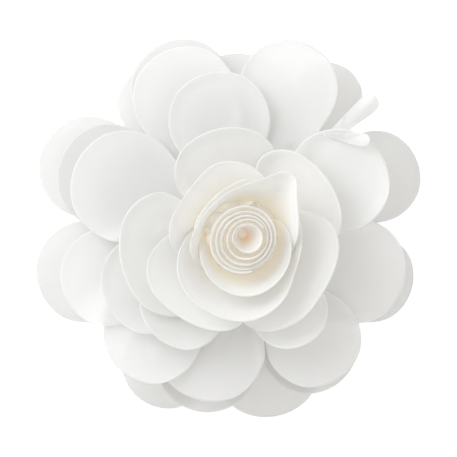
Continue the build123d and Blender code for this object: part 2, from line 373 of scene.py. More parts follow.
@dataclass(frozen=True)
class ThreadFinish:
    """Twisted white sewing thread."""

    name: str
    colour: tuple[float, float, float]
    shade: tuple[float, float, float]
    twist: float = 0.35 * MM

    def make(self) -> bpy.types.Material:
        """Build the thread's material.

        Returns:
            The material.
        """
        shader = Shader(self.name)
        x, y, z = shader.axes()
        plies = ((x + y + z) * (2 * math.pi / self.twist)).wave()
        shader.dress(
            # Darker in the grooves between the plies: painted shade.
            Base_Color=shader.mix((plies * 0.5 + 0.5).clamped(), self.shade, self.colour),
            Roughness=0.6,
            Sheen_Weight=0.3,
            Normal=shader.bump(plies, 0.5, 0.05 * MM),
        )
        return shader.material


@dataclass(frozen=True)
class SteelFinish:
    """Nickel-plated pressed steel, brushed along the clip."""

    name: str
    colour: tuple[float, float, float]
    roughness: float = 0.28

    def make(self) -> bpy.types.Material:
        """Build the steel's material.

        Returns:
            The material.
        """
        shader = Shader(self.name)
        stretch = shader.node(
            "ShaderNodeMapping", {}, {"Vector": shader.object_place(), "Scale": (60.0, 1500.0, 1500.0)}
        )
        grain_node = shader.node("ShaderNodeTexNoise", {}, {
            "Vector": stretch.outputs[0],
            "Scale": 1.0,
            "Detail": 3.0,
        })
        grain = Wire(shader, grain_node.outputs[0])
        smudge = shader.noise(90.0, 3.0)
        dull = tuple(0.72 * part for part in self.colour)
        shader.dress(
            Base_Color=shader.mix((smudge * 0.5).clamped(), self.colour, dull),
            Metallic=1.0,
            Roughness=(grain * 0.18 + smudge * 0.10 + (self.roughness - 0.12)).clamped(),
            Normal=shader.bump(grain, 0.12, 0.02 * MM),
        )
        return shader.material


@dataclass(frozen=True)
class GlueFinish:
    """Cloudy hot-melt glue."""

    name: str
    colour: tuple[float, float, float]

    def make(self) -> bpy.types.Material:
        """Build the glue's material.

        Returns:
            The material.
        """
        shader = Shader(self.name)
        cloud = shader.noise(300.0, 3.0)
        shader.dress(
            Base_Color=shader.mix((cloud * 0.5).clamped(), self.colour, (0.98, 0.97, 0.93)),
            Roughness=(0.25 + cloud * 0.15),
            Alpha=0.85,
            Coat_Weight=0.4,
            Coat_Roughness=0.1,
            Normal=shader.bump(cloud, 0.3, 0.15 * MM),
        )
        return shader.material


@dataclass(frozen=True)
class BuckramFinish:
    """Stiff open-weave cloth of the base disc, with painted shade in the weave's gaps and a faint glow of
    painted light, as the folds above it have.
    """

    name: str
    colour: tuple[float, float, float]
    glow: float = 0.10
    pitch: float = 0.9 * MM

    def make(self) -> bpy.types.Material:
        """Build the buckram's material.

        Returns:
            The material.
        """
        shader = Shader(self.name)
        x, y, _ = shader.axes()
        pitch = 2 * math.pi / self.pitch
        threads = (x * pitch).wave() * (y * pitch).wave()
        thread_lit_share = (threads * 0.5 + 0.5).clamped()
        shader.dress(
            # painted shade: darker in the gaps of the weave
            Base_Color=shader.mix(thread_lit_share, tuple(0.8 * part for part in self.colour), self.colour),
            Roughness=0.85,
            # painted light: the disc glows faintly
            Emission_Color=FILTERED_LIGHT,
            Emission_Strength=self.glow,
            Normal=shader.bump(threads, 0.5, 0.1 * MM),
        )
        return shader.material


class Ring(Enum):
    """Where a petal sits in the rose, from the outside in."""

    BACK = "back_cloth"
    OUTER = "petal_cloth"
    INNER = "inner_cloth"
    HEART = "heart_cloth"
    BUD = "bud_cloth"


CLOTHS = {
    # The back cloth is the petal cloth drawn darker: painted shade for the back and under petals, which lie
    # in shade.
    Ring.BACK: ClothFinish(
        "back_cloth", (0.81, 0.808, 0.80), (0.88, 0.86, 0.82),
        shade_reach=26 * MM, shade_top=18 * MM, shade_drop=12 * MM, opacity=0.80,
    ),
    Ring.OUTER: ClothFinish(
        "petal_cloth", (0.95, 0.95, 0.945), (0.95, 0.93, 0.89),
        shade_reach=26 * MM, shade_top=22 * MM, shade_drop=10 * MM, opacity=0.72,
    ),
    Ring.INNER: ClothFinish(
        "inner_cloth", (0.965, 0.965, 0.958), (0.96, 0.94, 0.88),
        shade_reach=24 * MM, shade_top=30 * MM, shade_drop=12 * MM, opacity=0.74,
        edge=0.35, glow=0.09, glow_reach=14 * MM,
    ),
    Ring.HEART: ClothFinish(
        "heart_cloth", (0.975, 0.972, 0.955), (0.97, 0.91, 0.78),
        shade_reach=22 * MM, shade_top=34 * MM, shade_drop=14 * MM, opacity=0.80,
        edge=0.8, glow=0.06,
    ),
    Ring.BUD: ClothFinish(
        "bud_cloth", (0.98, 0.97, 0.94), (0.96, 0.72, 0.44),
        shade_reach=5.5 * MM, shade_top=37.5 * MM, shade_drop=12 * MM, opacity=0.86,
        edge=0.8, glow=0.07, glow_reach=24 * MM,
    ),
}


# -------------------------------------------------------------- cloth meshes

def mesh_piece(
    name: str,
    points: np.ndarray,
    faces: list[tuple[int, ...]],
    rim: np.ndarray | None = None,
    flat: np.ndarray | None = None,
) -> bpy.types.Object:
    """Make a smooth-shaded mesh object at the origin.

    Args:
        name: the piece's name.
        points: vertex places, one row each.
        faces: vertex numbers of each face.
        rim: how near the cloth's edge each vertex is, 0 to 1.
        flat: where each vertex lies on the cloth as it was cut.

    Returns:
        The linked object.
    """
    mesh = bpy.data.meshes.new(name)
    mesh.from_pydata(points.tolist(), [], faces)
    if rim is not None:
        layer = mesh.attributes.new("rim", "FLOAT", "POINT")
        layer.data.foreach_set("value", rim.astype(np.float32).ravel())
    if flat is not None:
        cut = np.column_stack([flat, np.zeros(len(flat))])
        layer = mesh.attributes.new("flat", "FLOAT_VECTOR", "POINT")
        layer.data.foreach_set("vector", cut.astype(np.float32).ravel())
    mesh.shade_smooth()
    mesh.update()
    piece = bpy.data.objects.new(name, mesh)
    bpy.context.scene.collection.objects.link(piece)
    return piece


def grid_faces(rows: int, columns: int) -> list[tuple[int, ...]]:
    """Quads of a grid whose vertices run row by row.

    Args:
        rows: how many rows of vertices.
        columns: how many vertices in a row.

    Returns:
        The quads' vertex numbers.
    """
    faces = []
    for row in range(rows - 1):
        for column in range(columns - 1):
            here, above = row * columns + column, (row + 1) * columns + column
            faces.append((here, above, above + 1, here + 1))
    return faces


def solid_tree(node: bpy.types.Object) -> BVHTree:
    """A search tree over a CAD node's triangles.

    Args:
        node: the CAD node.

    Returns:
        The tree, in the node's own metres.
    """
    mesh = node.data
    points = [vertex.co.copy() for vertex in mesh.vertices]
    return BVHTree.FromPolygons(points, [tuple(face.vertices) for face in mesh.polygons])


def smooth_step(value: np.ndarray) -> np.ndarray:
    """0 below 0, 1 above 1 and an easy curve between."""
    held = np.clip(value, 0.0, 1.0)
    return held * held * (3 - 2 * held)


def round_grid(steps: int) -> tuple[np.ndarray, np.ndarray]:
    """A square grid drawn in to fill the unit circle, row by row.

    Args:
        steps: vertices along each side.

    Returns:
        How far ahead and how far aside each vertex lies.
    """
    span = np.linspace(-1, 1, steps)
    u, v = (part.ravel() for part in np.meshgrid(span, span, indexing="ij"))
    return u * np.sqrt(1 - v ** 2 / 2), v * np.sqrt(1 - u ** 2 / 2)


def surface_area(points: np.ndarray, rows: int, columns: int) -> float:
    """Area of an open grid of points.

    Args:
        points: the vertices, row by row.
        rows: how many rows.
        columns: how many vertices in a row.

    Returns:
        The area in square metres.
    """
    grid = points.reshape(rows, columns, 3)
    along = grid[1:, :-1] - grid[:-1, :-1]
    across = grid[:-1, 1:] - grid[:-1, :-1]
    return float(np.linalg.norm(np.cross(along, across), axis=2).sum())


def thicken(piece: bpy.types.Object, thickness: float) -> None:
    """Give a sheet its thickness, half to each side.

    Args:
        piece: the sheet.
        thickness: how thick it becomes.
    """
    solidify = piece.modifiers.new("cloth", "SOLIDIFY")
    solidify.thickness = thickness
    solidify.offset = 0.0
    solidify.use_even_offset = False


@dataclass
class ClothWorks:
    """What all petals share: materials, thickness and the frame's solids."""

    nodes: dict
    axis: Vector
    thickness: float = 0.22 * MM
    clearance: float = 0.22 * MM
    materials: dict = field(default_factory=dict)
    trees: dict = field(default_factory=dict)

    def prepare(self) -> None:
        """Build the cloth materials and a search tree for each soft solid."""
        for ring, finish in CLOTHS.items():
            self.materials[ring] = finish.make(self.axis)
        for name, node in self.nodes.items():
            if "petal" in name or "wrap" in name or name == "folded_lip":
                self.trees[name] = solid_tree(node)

    def room(self, name: str, place: Vector, way: Vector, reach: float) -> float:
        """How far a point of one petal may move before it meets another.

        Args:
            name: the petal that the point belongs to.
            place: the point.
            way: the direction it would move in.
            reach: the furthest worth knowing.

        Returns:
            The free distance, at most reach.
        """
        free = reach
        for other, tree in self.trees.items():
            if other == name:
                continue
            hit = tree.ray_cast(place, way, free + self.clearance)
            if hit[0] is not None:
                free = min(free, max(0.0, hit[3] - self.clearance))
        return free

    def finish(
        self,
        piece: bpy.types.Object,
        node: str,
        ring: Ring,
        flat: tuple[float, float],
        area: float,
        held: str,
    ) -> None:
        """Args:
            piece: the cloth.
            node: the CAD node that it stands for.
            ring: which cloth it is cut from.
            flat: width and length that it was cut to; not used.
            area: its flat area; not used.
            held: how it is held; not used.
        """
        piece.data.materials.append(self.materials[ring])
        thicken(piece, self.thickness)
        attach(piece, BODY)
        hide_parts(node)


# --------------------------------------------------------------- open petals

@dataclass
class OpenPetal:
    """A round petal that opens outwards, read from its CAD node."""

    node: str
    ring: Ring
    curl: float
    curl_width: float = 4.0 * MM
    wave: float = 0.3 * MM
    rim_width: float = 1.2 * MM
    steps: int = 45
    directions: int = 144

    def build(self, works: ClothWorks) -> bpy.types.Object:
        """Make the petal.

        Args:
            works: the shared cloth settings.

        Returns:
            The petal's object.
        """
        points, rim, flat = self._lay(works)
        grid = points.reshape(self.steps, self.steps, 3)
        piece = mesh_piece(self.node + "_cloth", points, grid_faces(self.steps, self.steps), rim, flat)
        middle = self.steps // 2
        length = float(np.linalg.norm(np.diff(grid[:, middle], axis=0), axis=1).sum())
        width = float(np.linalg.norm(np.diff(grid[middle], axis=0), axis=1).sum())
        size = (max(width, LEAST_CUT), max(length, LEAST_CUT))
        if size != (width, length):
            log.info("%s measures %.1f x %.1f mm, under the least cut", self.node, width / MM, length / MM)
        area = surface_area(points, self.steps, self.steps)
        works.finish(piece, self.node, self.ring, size, area, "gathered")
        return piece

    def _outline(self, works: ClothWorks) -> tuple[np.ndarray, np.ndarray]:
        """The petal's outline in plan, read from its CAD walls.

        Args:
            works: the shared cloth settings.

        Returns:
            Its centre, and its radius in even directions.
        """
        mesh = works.nodes[self.node].data
        places = np.array([vertex.co for vertex in mesh.vertices])
        walls = [face.vertices for face in mesh.polygons if abs(face.normal.z) < 0.02]
        edge = places[np.unique(np.array(walls).ravel())][:, :2]
        centre = (edge.min(0) + edge.max(0)) / 2
        turn = np.arctan2(edge[:, 1] - centre[1], edge[:, 0] - centre[0])
        reach = np.hypot(edge[:, 0] - centre[0], edge[:, 1] - centre[1])
        order = np.argsort(turn)
        ways = np.linspace(-math.pi, math.pi, self.directions, endpoint=False)
        radius = np.interp(ways, turn[order], reach[order], period=2 * math.pi)
        return centre, radius

    def _lay(self, works: ClothWorks) -> tuple[np.ndarray, np.ndarray, np.ndarray]:
        """Lay the cloth over the CAD petal.

        Args:
            works: the shared cloth settings.

        Returns:
            Places of the vertices, how near the edge each one is, and its place on
            the cut cloth.
        """
        centre, radius = self._outline(works)
        facing = math.atan2(centre[1] - works.axis.y, centre[0] - works.axis.x)
        ways = np.linspace(-math.pi, math.pi, self.directions, endpoint=False)
        ahead, aside = round_grid(self.steps)
        out = np.hypot(ahead, aside)
        turn = np.arctan2(aside, ahead) + facing
        edge = np.interp(turn, ways, radius, period=2 * math.pi)
        points = np.zeros((len(out), 3))
        points[:, 0] = centre[0] + edge * out * np.cos(turn)
        points[:, 1] = centre[1] + edge * out * np.sin(turn)
        points[:, 2] = self._heights(works, centre, points[:, :2])
        inside = (1 - out) * edge
        wish = self.curl * smooth_step(1 - inside / self.curl_width) ** 1.5 * smooth_step(ahead + 0.8)
        wish = wish + self.wave * out ** 3 * np.sin(3.1 * turn + 40 * facing) * smooth_step(ahead + 0.5)
        points[:, 2] += self._within_room(works, points, wish)
        rim = 1 - np.clip(inside / self.rim_width, 0, 1)
        flat = np.column_stack([ahead * edge, aside * edge])
        return points, rim, flat

    def _heights(self, works: ClothWorks, centre: np.ndarray, plan: np.ndarray) -> np.ndarray:
        """Middle height of the CAD petal under each point in plan.

        Args:
            works: the shared cloth settings.
            centre: the petal's centre in plan.
            plan: the points in plan.

        Returns:
            One height for each point, taken from the nearest where the petal is missed.
        """
        tree = works.trees[self.node]
        heights = np.full(len(plan), np.nan)
        for index, (x, y) in enumerate(centre + (plan - centre) * 0.985):
            top = tree.ray_cast(Vector((x, y, 1.0)), Vector((0, 0, -1)))
            low = tree.ray_cast(Vector((x, y, -1.0)), Vector((0, 0, 1)))
            if top[0] and low[0]:
                heights[index] = (top[0].z + low[0].z) / 2
        known = np.flatnonzero(~np.isnan(heights))
        for index in np.flatnonzero(np.isnan(heights)):
            near = known[np.argmin(np.hypot(*(plan[known] - plan[index]).T))]
            heights[index] = heights[near]
        return heights

    def _within_room(self, works: ClothWorks, points: np.ndarray, wish: np.ndarray) -> np.ndarray:
        """Hold each vertex's wished lift to the room that it has.

        Args:
            works: the shared cloth settings.
            points: places of the vertices.
            wish: how far each one would move.

        Returns:
            The lift of each vertex, smoothed.
        """
        lift = np.zeros(len(points))
        for index in np.flatnonzero(np.abs(wish) > 0.02 * MM):
            way = Vector((0, 0, 1.0 if wish[index] > 0 else -1.0))
            room = works.room(self.node, Vector(points[index]), way, abs(wish[index]))
            lift[index] = math.copysign(room, wish[index])
        grid = lift.reshape(self.steps, self.steps)
        for _ in range(3):
            soft = np.pad(grid, 1, mode="edge")
            soft = (soft[:-2, 1:-1] + soft[2:, 1:-1] + soft[1:-1, :-2] + soft[1:-1, 2:] + 2 * grid) / 6
            grid = np.where(np.abs(soft) < np.abs(grid), soft, grid)
        return grid.ravel()


# ------------------------------------------------------------ upright petals

@dataclass
class UprightPetal:
    """A petal wrapped about the bud, read from its CAD shell."""

    node: str
    ring: Ring
    lip: float
    foot: float = 0.3 * MM
    beyond: float = 60 * MM
    around: int = 97
    rises: int = 25

    def build(self, works: ClothWorks) -> bpy.types.Object:
        """Make the petal.

        Args:
            works: the shared cloth settings.

        Returns:
            The petal's object.
        """
        points, rim = self._lay(works)
        grid = points.reshape(self.around, self.rises, 3)
        far = np.cumsum(np.linalg.norm(np.diff(grid[:, -1], axis=0, prepend=grid[:1, -1]), axis=1))
        up = np.cumsum(np.linalg.norm(np.diff(grid, axis=1, prepend=grid[:, :1]), axis=2), axis=1)
        flat = np.column_stack([np.repeat(far, self.rises), up.ravel()])
        piece = mesh_piece(self.node + "_cloth", points, grid_faces(self.around, self.rises), rim, flat)
        tall = float(np.linalg.norm(np.diff(grid[self.around // 2], axis=0), axis=1).sum())
        wide = float(np.linalg.norm(np.diff(grid[:, -1], axis=0), axis=1).sum())
        area = surface_area(points, self.around, self.rises)
        works.finish(piece, self.node, self.ring, (wide, tall), area, "gathered")
        return piece

    def _lay(self, works: ClothWorks) -> tuple[np.ndarray, np.ndarray]:
        """Lay the cloth up the CAD shell.

        Args:
            works: the shared cloth settings.

        Returns:
            Places of the vertices, and how near the edge each one is.
        """
        places = np.array([vertex.co for vertex in works.nodes[self.node].data.vertices])
        plan = places[:, :2] - np.array(works.axis[:2])
        turn = np.sort(np.arctan2(plan[:, 1], plan[:, 0]))
        gap = int(np.argmax(np.diff(np.append(turn, turn[0] + 2 * math.pi))))
        first = turn[(gap + 1) % len(turn)]
        last = turn[gap] if turn[gap] > first else turn[gap] + 2 * math.pi
        inset = (last - first) * 0.004
        azimuths = np.linspace(first + inset, last - inset, self.around)
        low, high = places[:, 2].min() + self.foot, places[:, 2].max()
        tops = np.array([self._rim_height(works, azimuth, low, high) for azimuth in azimuths])
        up = np.linspace(0, 1, self.rises)
        heights = low + (tops[:, None] - low) * up[None, :]
        radius = np.array([
            [self._radius(works, azimuth, z) for z in line]
            for azimuth, line in zip(azimuths, heights)
        ])
        radius = self._filled(radius) + self.lip * smooth_step((up - 0.8) / 0.2)[None, :] ** 2
        points = np.stack([
            works.axis.x + radius * np.cos(azimuths)[:, None],
            works.axis.y + radius * np.sin(azimuths)[:, None],
            heights,
        ], axis=2).reshape(-1, 3)
        rise = np.tile(up, self.around)
        across = np.repeat(np.linspace(-1, 1, self.around), self.rises)
        rim = np.maximum(smooth_step((rise - 0.86) / 0.14), smooth_step((np.abs(across) - 0.96) / 0.04))
        return points, rim

    def _radius(self, works: ClothWorks, azimuth: float, z: float) -> float:
        """Distance from the bud's axis to the middle of the shell.

        Args:
            works: the shared cloth settings.
            azimuth: the direction looked in.
            z: the height looked at.

        Returns:
            The distance, or not-a-number off the shell.
        """
        tree = works.trees[self.node]
        way = Vector((math.cos(azimuth), math.sin(azimuth), 0))
        start = Vector((works.axis.x, works.axis.y, z))
        hit = tree.ray_cast(start, way)
        back = tree.ray_cast(start + way * self.beyond, -way)
        if hit[0] is None or back[0] is None:
            return float("nan")
        return (hit[3] + self.beyond - back[3]) / 2

    def _rim_height(self, works: ClothWorks, azimuth: float, low: float, high: float) -> float:
        """Highest point of the shell at an azimuth, found by halving.

        Args:
            works: the shared cloth settings.
            azimuth: the direction looked in.
            low: a height on the shell.
            high: a height at or above its rim.

        Returns:
            The rim's height.
        """
        for _ in range(14):
            middle = (low + high) / 2
            if math.isnan(self._radius(works, azimuth, middle)):
                high = middle
            else:
                low = middle
        return low

    def _filled(self, radius: np.ndarray) -> np.ndarray:
        """Fill gaps in the radii from their neighbours.

        Args:
            radius: one row for each azimuth, with gaps as not-a-number.

        Returns:
            The same radii without gaps.
        """
        for line in radius.T:
            known = np.flatnonzero(~np.isnan(line))
            if len(known):
                line[:] = np.interp(np.arange(len(line)), known, line[known])
        for line in radius:
            known = np.flatnonzero(~np.isnan(line))
            line[:] = np.interp(np.arange(len(line)), known, line[known])
        return radius


# ----------------------------------------------------------------------- bud

@dataclass
class RolledBud:
    """The rolled strip at the heart and the leaning funnel inside it."""

    turns: float = 3.7
    start: float = 0.6
    flare: float = 0.7 * MM
    around: int = 420
    rises: int = 25
    throat: float = 1.1 * MM
    throat_drop: float = 8.0 * MM
    lean: tuple[float, float] = (-1.7 * MM, 1.3 * MM)

    def build(self, works: ClothWorks) -> list[bpy.types.Object]:
        """Make the roll and the heart.

        Args:
            works: the shared cloth settings.

        Returns:
            The two pieces.
        """
        return [self._roll(works), self._heart(works)]

    def _roll(self, works: ClothWorks) -> bpy.types.Object:
        """The strip, rolled up, each turn's top standing a little lower and turned out.

        Args:
            works: the shared cloth settings.

        Returns:
            The rolled strip.
        """
        low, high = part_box("bud_roll")
        heart_low, heart_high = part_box("bud_heart")
        outer = (high.y - low.y) / 2 - 0.45 * MM
        inner = (heart_high.y - heart_low.y) / 2 + 0.45 * MM
        centre_x = heart_high.x - (heart_high.y - heart_low.y) / 2
        share = np.linspace(0, 1, self.around)[:, None]
        up = np.linspace(0, 1, self.rises)[None, :]
        angle = 2 * math.pi * self.turns * share + self.start
        radius = inner + (outer - inner) * share + 0.22 * MM * np.sin(angle * 0.77)
        radius = radius * (1 + 0.035 * np.cos(2 * angle - 1.8))
        top = high.z - 0.2 * MM - (radius - inner) * 0.6 + 0.45 * MM * np.sin(angle * 1.7)
        spread = radius + self.flare * share * up ** 2 + 0.5 * MM * smooth_step((up - 0.9) / 0.1) ** 2
        points = np.stack([
            works.axis.x + (centre_x - works.axis.x) * (1 - share) + spread * np.cos(angle),
            works.axis.y + spread * np.sin(angle),
            low.z + (top - low.z) * up,
        ], axis=2)
        return self._sheet(works, "bud_roll", points)

    def _heart(self, works: ClothWorks) -> bpy.types.Object:
        """The tightest turns, which lean and narrow to a throat.

        Args:
            works: the shared cloth settings.

        Returns:
            The heart.
        """
        low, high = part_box("bud_heart")
        rim = (high.y - low.y) / 2 - 0.3 * MM
        share = np.linspace(0, 1, self.around)[:, None]
        up = np.linspace(0, 1, self.rises)[None, :]
        angle = 2.2 + 2 * math.pi * 1.2 * share
        depth = (1 - up) * (high.z - low.z - 0.8 * MM)
        narrow = smooth_step(depth / self.throat_drop)
        radius = (rim - 0.55 * MM * (1 - share)) * (1 - narrow) + (self.throat + 0.6 * MM * share) * narrow
        radius = radius + 0.45 * MM * smooth_step((up - 0.88) / 0.12) ** 2
        top_x = high.x - (high.y - low.y) / 2
        points = np.stack([
            top_x + self.lean[0] * narrow + radius * np.cos(angle),
            works.axis.y + self.lean[1] * narrow + radius * np.sin(angle),
            high.z - 0.5 * MM - depth - 0.5 * MM * (1 - share) + 0.3 * MM * np.sin(angle * 0.8),
        ], axis=2)
        return self._sheet(works, "bud_heart", points)

    def _sheet(self, works: ClothWorks, node: str, points: np.ndarray) -> bpy.types.Object:
        """Make one rolled sheet from its grid of points.

        Args:
            works: the shared cloth settings.
            node: the CAD node that it stands for.
            points: the grid, along the strip and then up it.

        Returns:
            The sheet.
        """
        rows, columns, _ = points.shape
        up = np.tile(np.linspace(0, 1, columns), rows)
        rim = smooth_step((up - 0.92) / 0.08)
        far = np.cumsum(np.linalg.norm(np.diff(points[:, -1], axis=0, prepend=points[:1, -1]), axis=1))
        tall = np.linalg.norm(np.diff(points[rows // 2], axis=0), axis=1).sum()
        flat = np.column_stack([np.repeat(far, columns), up * tall])
        flat_points = points.reshape(-1, 3)
        piece = mesh_piece(node + "_cloth", flat_points, grid_faces(rows, columns), rim, flat)
        works.finish(piece, node, Ring.BUD, (float(far[-1]), float(tall)),
                     surface_area(flat_points, rows, columns), "folded")
        return piece


# --------------------------------------------------------------------- rose

PETAL_CURL = {
    "back": -0.4 * MM,
    "under": 0.2 * MM,
    "outer": 0.30 * MM,
    "inner": 0.6 * MM,
    "cup": 0.8 * MM,
    "folded": 0.3 * MM,
}


@dataclass
class Rose:
    """All the cloth of the flower."""

    works: ClothWorks

    def build(self) -> list[bpy.types.Object]:
        """Make every petal, wrap and the bud.

        Returns:
            The rose's pieces.
        """
        pieces = []
        for name in sorted(self.works.trees):
            family = name.split("_")[0]
            if family in ("wrap", "heart"):
                ring = Ring.HEART if family == "heart" else Ring.INNER
                lip = 1.3 * MM if family == "heart" else 0.8 * MM
                pieces.append(UprightPetal(name, ring, lip).build(self.works))
            else:
                # Back and under petals take the darker back cloth: painted shade.
                ring = {"back": Ring.BACK, "under": Ring.BACK, "cup": Ring.INNER}.get(family, Ring.OUTER)
                pieces.append(OpenPetal(name, ring, PETAL_CURL[family]).build(self.works))
            log.info("petal %s", pieces[-1].name)
        pieces += RolledBud().build(self.works)
        return pieces


# ------------------------------------------------------------ backing, clip

class Recipe(NodeTree):
    """A geometry tree that dresses one mesh, with its sizes as named inputs."""

    def __init__(self, name: str, sizes: dict[str, float | int]) -> None:
        """Make the tree.

        Args:
            name: the tree's name.
            sizes: each named input with its value.
        """
        self.tree = bpy.data.node_groups.new(name, "GeometryNodeTree")
        self.sizes = sizes
        face = self.tree.interface
        face.new_socket("Geometry", in_out="INPUT", socket_type="NodeSocketGeometry")
        for key, value in sizes.items():
            kind = "NodeSocketInt" if isinstance(value, int) else "NodeSocketFloat"
            face.new_socket(key, in_out="INPUT", socket_type=kind)
        face.new_socket("Geometry", in_out="OUTPUT", socket_type="NodeSocketGeometry")
        self.given = self.node("NodeGroupInput").outputs
        self.result = self.node("NodeGroupOutput").inputs[0]

    def maths(self, operation: str, first: object, second: object = 0.0) -> bpy.types.NodeSocket:
        """The result of one Math node."""
        return self.node("ShaderNodeMath", {"operation": operation}, {0: first, 1: second}).outputs[0]

    def end(self, instances: bpy.types.NodeSocket, material: bpy.types.Material) -> None:
        """Turn the instances real, give them their material and put them out.

        Args:
            instances: what the tree has laid out.
            material: the finish of all of them.
        """
        real = self.node("GeometryNodeRealizeInstances", {}, {0: instances}).outputs[0]
        dressed = self.node("GeometryNodeSetMaterial", {}, {0: real, "Material": material})
        self.feed(self.result, dressed.outputs[0])

    def bake(self, name: str, source: bpy.types.Mesh) -> bpy.types.Object:
        """Run the tree on a mesh and keep what it makes as a plain mesh.

        Args:
            name: the new piece's name.
            source: the mesh that the tree works from.

        Returns:
            The finished piece, at the origin.
        """
        worker = bpy.data.objects.new(name + "_worker", source)
        bpy.context.scene.collection.objects.link(worker)
        modifier = worker.modifiers.new("recipe", "NODES")
        modifier.node_group = self.tree
        for item in self.tree.interface.items_tree:
            if item.in_out == "INPUT" and item.name in self.sizes:
                modifier[item.identifier] = self.sizes[item.name]
        evaluated = worker.evaluated_get(bpy.context.evaluated_depsgraph_get())
        mesh = bpy.data.meshes.new_from_object(evaluated)
        worker.modifiers.remove(modifier)
        bpy.data.objects.remove(worker)
        mesh.name = name
        mesh.shade_smooth()
        piece = bpy.data.objects.new(name, mesh)
        bpy.context.scene.collection.objects.link(piece)
        return piece


def dress_node(node: bpy.types.Object, material: bpy.types.Material) -> None:
    """Give a CAD node its material."""
    node.data.materials.clear()
    node.data.materials.append(material)


def ring_sheet(name: str, low: Vector, high: Vector, sag: float, steps: int = 41) -> bpy.types.Object:
    """A round flat sheet that fills a box, a little uneven.

    Args:
        name: the piece's name.
        low: the box's lowest corner.
        high: the box's highest corner.
        sag: how far the sheet strays up and down.
        steps: vertices along each side of its grid.

    Returns:
        The sheet, still without thickness.
    """
    ahead, aside = round_grid(steps)
    centre, radius = (low + high) / 2, (high.x - low.x) / 2
    x, y = ahead * radius, aside * radius
    uneven = sag * np.sin(x / (4.3 * MM)) * np.sin(y / (5.1 * MM) + 1.0)
    points = np.column_stack([centre.x + x, centre.y + y, centre.z + uneven])
    rim = 1 - np.clip((1 - np.hypot(ahead, aside)) * radius / MM, 0, 1)
    return mesh_piece(name, points, grid_faces(steps, steps), rim, np.column_stack([x, y]))


